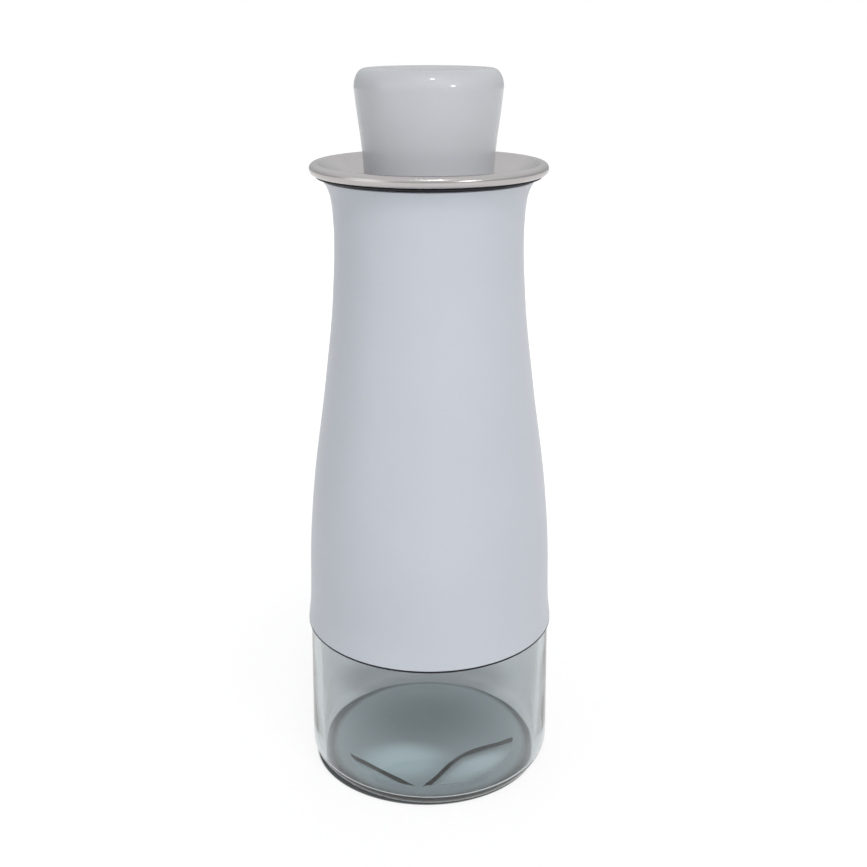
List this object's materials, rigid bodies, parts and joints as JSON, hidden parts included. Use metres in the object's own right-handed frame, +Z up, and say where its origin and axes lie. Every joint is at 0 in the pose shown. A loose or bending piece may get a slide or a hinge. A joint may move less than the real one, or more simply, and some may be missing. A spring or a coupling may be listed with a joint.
{
  "type": "oil bottle",
  "caption": "Round glass oil bottle in a white painted steel sleeve, with a flared steel pouring collar and a pull-out stopper.",
  "frame": {"origin": "centre of the foot, on the surface that the bottle stands on", "axes": "+Z up along the bottle's axis; the bottle is round, so +X and +Y are free, and the vent of the pour insert lies towards +X"},
  "size_m": [0.08, 0.08, 0.224],
  "materials": {
    "clear_glass": "clear soda-lime glass, pressed and blown",
    "white_enamel": "satin white paint on steel",
    "black_silicone": "matt moulded",
    "clear_silicone": "matt translucent, moulded",
    "polished_steel": "bright drawn and polished sheet",
    "natural_plastic": "natural polypropylene, moulded",
    "white_plastic": "satin-gloss white, moulded"
  },
  "bodies": {
    "bottle": {"glass_bottle": "clear_glass", "steel_sleeve": "white_enamel", "sleeve_seal_bead": "black_silicone"},
    "gasket": {"collar_gasket": "black_silicone"},
    "collar": {"pour_collar": "polished_steel", "neck_washer": "clear_silicone", "thread_ring": "natural_plastic", "pour_insert": "natural_plastic"},
    "stopper": {"stopper_shell": "white_plastic", "stopper_plug": "natural_plastic", "stopper_seal_1": "clear_silicone", "stopper_seal_2": "clear_silicone"}
  },
  "joints": [
    {"name": "collar_lift", "type": "slide", "parent": "bottle", "child": "gasket", "axis": [0, 0, 1], "range_m": [0, 0.008]},
    {"name": "collar_turn", "type": "hinge", "parent": "gasket", "child": "collar", "pos_m": [0, 0, 0.1882], "axis": [0, 0, 1], "range_deg": [0, 720]},
    {"name": "stopper_lift", "type": "slide", "parent": "collar", "child": "stopper", "axis": [0, 0, 1], "range_m": [0, 0.03]}
  ],
  "couplings": [
    {"joint": "collar_lift", "follows": "collar_turn", "m_per_rad": 0.0006366}
  ]
}
